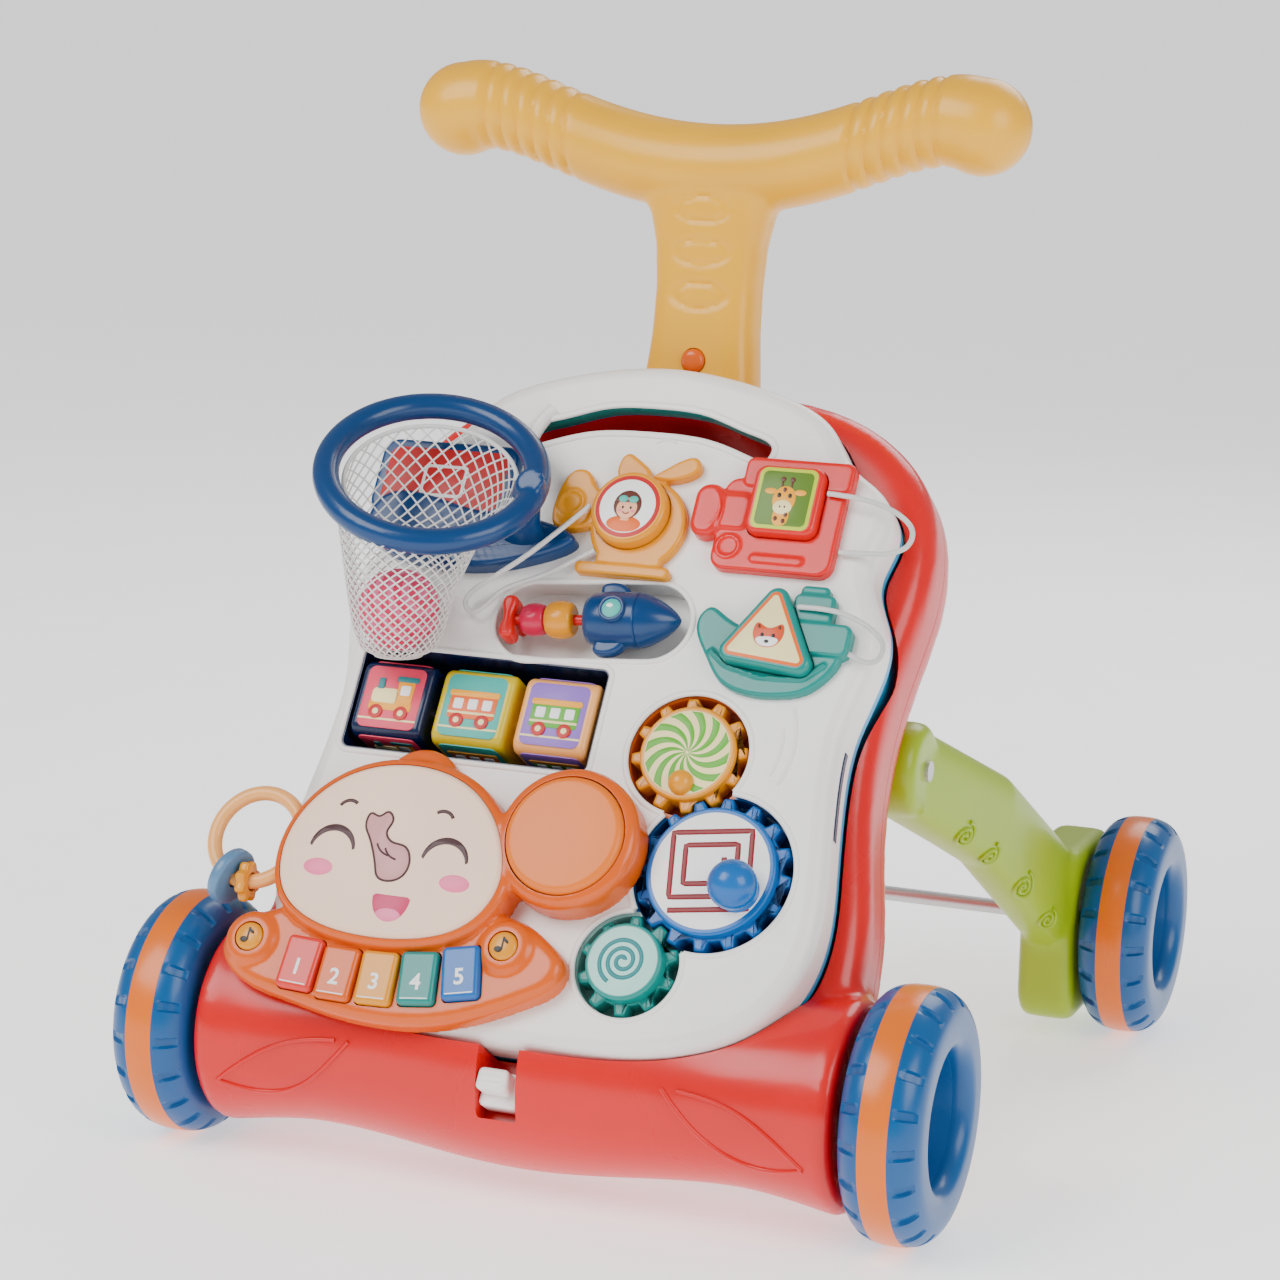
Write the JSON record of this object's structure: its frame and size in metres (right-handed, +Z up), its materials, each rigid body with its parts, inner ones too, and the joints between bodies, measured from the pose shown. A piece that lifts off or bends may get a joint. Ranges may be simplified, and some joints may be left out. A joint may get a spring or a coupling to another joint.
{
  "type": "baby walker",
  "caption": "Push-along baby walker with four fat wheels, a T handle and a lean-back play panel with an animal piano, meshing gears, turning blocks, a ball hoop and lift-off shapes.",
  "frame": {"origin": "on the floor, midway between the front and rear axles and midway between the wheels", "axes": "+X to the right when facing the play panel, +Y towards the child who pushes, +Z up"},
  "size_m": [0.424, 0.475, 0.5077],
  "materials": {
    "red_plastic": "glossy red moulded plastic",
    "yellow_plastic": "satin yellow moulded plastic",
    "white_plastic": "satin white moulded plastic",
    "sky_plastic": "satin light blue moulded plastic",
    "blue_plastic": "semi-gloss blue moulded plastic",
    "green_plastic": "satin leaf green moulded plastic",
    "orange_plastic": "glossy orange moulded plastic",
    "peach_plastic": "pale peach moulded plastic",
    "amber_plastic": "glossy amber moulded plastic",
    "navy_plastic": "glossy navy moulded plastic",
    "lime_plastic": "satin yellow-green moulded plastic",
    "teal_plastic": "glossy teal moulded plastic",
    "coral_plastic": "glossy coral moulded plastic",
    "cream_plastic": "printed cream face plate",
    "rust_plastic": "red-brown moulded liner",
    "steel": "plain steel rod",
    "board": "circuit board and speaker",
    "ball_rubber": "soft ball with raised stripes",
    "net_mesh": "knitted white net",
    "string": "woven white string"
  },
  "bodies": {
    "frame": {"frame_front_shell": "red_plastic", "frame_back_shell": "red_plastic", "front_axle": "steel", "front_axle_caps": "white_plastic", "frame_screws": "steel", "handle_front_shell": "yellow_plastic", "handle_rear_shell": "yellow_plastic", "leg_pivot_rod": "steel"},
    "handle_button": {"handle_button": "yellow_plastic"},
    "panel_latch": {"panel_latch": "white_plastic"},
    "rear_legs": {"leg_left": "green_plastic", "leg_right": "green_plastic", "rear_axle": "steel", "rear_axle_caps": "white_plastic"},
    "front_wheel_left": {"front_wheel_left": "blue_plastic"},
    "front_wheel_right": {"front_wheel_right": "blue_plastic"},
    "rear_wheel_left": {"rear_wheel_left": "blue_plastic"},
    "rear_wheel_right": {"rear_wheel_right": "blue_plastic"},
    "play_panel": {"panel_front_shell": "white_plastic", "panel_back_shell": "sky_plastic", "gear_pockets": "rust_plastic", "block_tray": "navy_plastic", "block_shaft": "steel", "rocket_body": "navy_plastic", "rocket_rod": "red_plastic", "helicopter_base": "amber_plastic", "camera_base": "red_plastic", "boat_base": "teal_plastic", "hoop_bracket": "navy_plastic", "hoop_ring": "navy_plastic", "net": "net_mesh", "piano_housing": "orange_plastic", "face_plate": "cream_plastic", "ear_ring": "peach_plastic", "battery_door": "sky_plastic", "sound_module": "board", "helicopter_string": "string", "camera_string": "string", "boat_string": "string"},
    "yellow_gear": {"yellow_gear": "yellow_plastic"},
    "blue_gear": {"blue_gear": "blue_plastic"},
    "teal_gear": {"teal_gear": "teal_plastic"},
    "train_block_1": {"train_block_1": "navy_plastic"},
    "train_block_2": {"train_block_2": "lime_plastic"},
    "train_block_3": {"train_block_3": "peach_plastic"},
    "red_bead": {"red_bead": "coral_plastic"},
    "yellow_bead": {"yellow_bead": "yellow_plastic"},
    "helicopter_block": {"helicopter_block": "amber_plastic"},
    "camera_block": {"camera_block": "red_plastic"},
    "boat_block": {"boat_block": "teal_plastic"},
    "ball": {"ball": "ball_rubber"},
    "key_1": {"key_1": "coral_plastic"},
    "key_2": {"key_2": "orange_plastic"},
    "key_3": {"key_3": "amber_plastic"},
    "key_4": {"key_4": "teal_plastic"},
    "key_5": {"key_5": "sky_plastic"},
    "left_button": {"left_button": "yellow_plastic"},
    "right_button": {"right_button": "yellow_plastic"},
    "ear_pad": {"ear_pad": "orange_plastic"},
    "ear_beads": {"ear_beads": "peach_plastic"}
  },
  "joints": [
    {"name": "front_wheel_left_spin", "type": "hinge", "parent": "frame", "child": "front_wheel_left", "pos_m": [-0.179, -0.1795, 0.058], "axis": [1, 0, 0], "continuous": true},
    {"name": "rear_wheel_left_spin", "type": "hinge", "parent": "rear_legs", "child": "rear_wheel_left", "pos_m": [-0.193, 0.1795, 0.058], "axis": [1, 0, 0], "continuous": true},
    {"name": "front_wheel_right_spin", "type": "hinge", "parent": "frame", "child": "front_wheel_right", "pos_m": [0.179, -0.1795, 0.058], "axis": [1, 0, 0], "continuous": true},
    {"name": "rear_wheel_right_spin", "type": "hinge", "parent": "rear_legs", "child": "rear_wheel_right", "pos_m": [0.193, 0.1795, 0.058], "axis": [1, 0, 0], "continuous": true},
    {"name": "leg_fold", "type": "hinge", "parent": "frame", "child": "rear_legs", "pos_m": [0, -0.04, 0.181], "axis": [1, 0, 0], "range_deg": [-70, 0]},
    {"name": "panel_lift", "type": "slide", "parent": "frame", "child": "play_panel", "axis": [0, -0.8387, 0.5446], "range_m": [0, 0.06]},
    {"name": "latch_slide", "type": "slide", "parent": "frame", "child": "panel_latch", "axis": [0, -0.5446, -0.8387], "range_m": [0, 0.005], "stiffness_N_per_m": 150},
    {"name": "handle_button_press", "type": "slide", "parent": "frame", "child": "handle_button", "axis": [0, 1, 0], "range_m": [0, 0.003], "stiffness_N_per_m": 300},
    {"name": "blue_gear_spin", "type": "hinge", "parent": "play_panel", "child": "blue_gear", "pos_m": [0.081, -0.1706, 0.15203], "axis": [0, -0.8387, 0.5446], "continuous": true},
    {"name": "yellow_gear_spin", "type": "hinge", "parent": "play_panel", "child": "yellow_gear", "pos_m": [0.05642, -0.1405, 0.19838], "axis": [0, -0.8387, 0.5446], "continuous": true},
    {"name": "teal_gear_spin", "type": "hinge", "parent": "play_panel", "child": "teal_gear", "pos_m": [0.05082, -0.1964, 0.11231], "axis": [0, -0.8387, 0.5446], "continuous": true},
    {"name": "train_block_1_spin", "type": "hinge", "parent": "play_panel", "child": "train_block_1", "pos_m": [-0.096, -0.12527, 0.20164], "axis": [1, 0, 0], "continuous": true},
    {"name": "train_block_2_spin", "type": "hinge", "parent": "play_panel", "child": "train_block_2", "pos_m": [-0.054, -0.12527, 0.20164], "axis": [1, 0, 0], "continuous": true},
    {"name": "train_block_3_spin", "type": "hinge", "parent": "play_panel", "child": "train_block_3", "pos_m": [-0.012, -0.12527, 0.20164], "axis": [1, 0, 0], "continuous": true},
    {"name": "red_bead_spin", "type": "hinge", "parent": "play_panel", "child": "red_bead", "pos_m": [-0.03467, -0.11367, 0.25071], "axis": [0.9962, 0.0475, 0.0731], "continuous": true},
    {"name": "yellow_bead_slide", "type": "slide", "parent": "play_panel", "child": "yellow_bead", "axis": [0.9962, 0.0475, 0.0731], "range_m": [0, 0.0065]},
    {"name": "helicopter_block_lift", "type": "slide", "parent": "play_panel", "child": "helicopter_block", "axis": [0, -0.8387, 0.5446], "range_m": [0, 0.012]},
    {"name": "camera_block_lift", "type": "slide", "parent": "play_panel", "child": "camera_block", "axis": [0, -0.8387, 0.5446], "range_m": [0, 0.012]},
    {"name": "boat_block_lift", "type": "slide", "parent": "play_panel", "child": "boat_block", "axis": [0, -0.8387, 0.5446], "range_m": [0, 0.012]},
    {"name": "ball_lift", "type": "slide", "parent": "play_panel", "child": "ball", "axis": [0.1202, 0.2634, 0.9572], "range_m": [0, 0.07]},
    {"name": "key_1_press", "type": "slide", "parent": "play_panel", "child": "key_1", "axis": [0, 0.8387, -0.5446], "range_m": [0, 0.0025], "stiffness_N_per_m": 400},
    {"name": "key_2_press", "type": "slide", "parent": "play_panel", "child": "key_2", "axis": [0, 0.8387, -0.5446], "range_m": [0, 0.0025], "stiffness_N_per_m": 400},
    {"name": "key_3_press", "type": "slide", "parent": "play_panel", "child": "key_3", "axis": [0, 0.8387, -0.5446], "range_m": [0, 0.0025], "stiffness_N_per_m": 400},
    {"name": "key_4_press", "type": "slide", "parent": "play_panel", "child": "key_4", "axis": [0, 0.8387, -0.5446], "range_m": [0, 0.0025], "stiffness_N_per_m": 400},
    {"name": "key_5_press", "type": "slide", "parent": "play_panel", "child": "key_5", "axis": [0, 0.8387, -0.5446], "range_m": [0, 0.0025], "stiffness_N_per_m": 400},
    {"name": "left_button_press", "type": "slide", "parent": "play_panel", "child": "left_button", "axis": [0, 0.8387, -0.5446], "range_m": [0, 0.0025], "stiffness_N_per_m": 400},
    {"name": "right_button_press", "type": "slide", "parent": "play_panel", "child": "right_button", "axis": [0, 0.8387, -0.5446], "range_m": [0, 0.0025], "stiffness_N_per_m": 400},
    {"name": "ear_pad_press", "type": "slide", "parent": "play_panel", "child": "ear_pad", "axis": [0, 0.8387, -0.5446], "range_m": [0, 0.002], "stiffness_N_per_m": 900},
    {"name": "ear_beads_swing", "type": "hinge", "parent": "play_panel", "child": "ear_beads", "pos_m": [-0.14, -0.19199, 0.1503], "axis": [0, -0.8387, 0.5446], "range_deg": [-60, 0]}
  ],
  "couplings": [
    {"joint": "yellow_gear_spin", "follows": "blue_gear_spin", "ratio": -1.3333},
    {"joint": "teal_gear_spin", "follows": "blue_gear_spin", "ratio": -1.6}
  ]
}
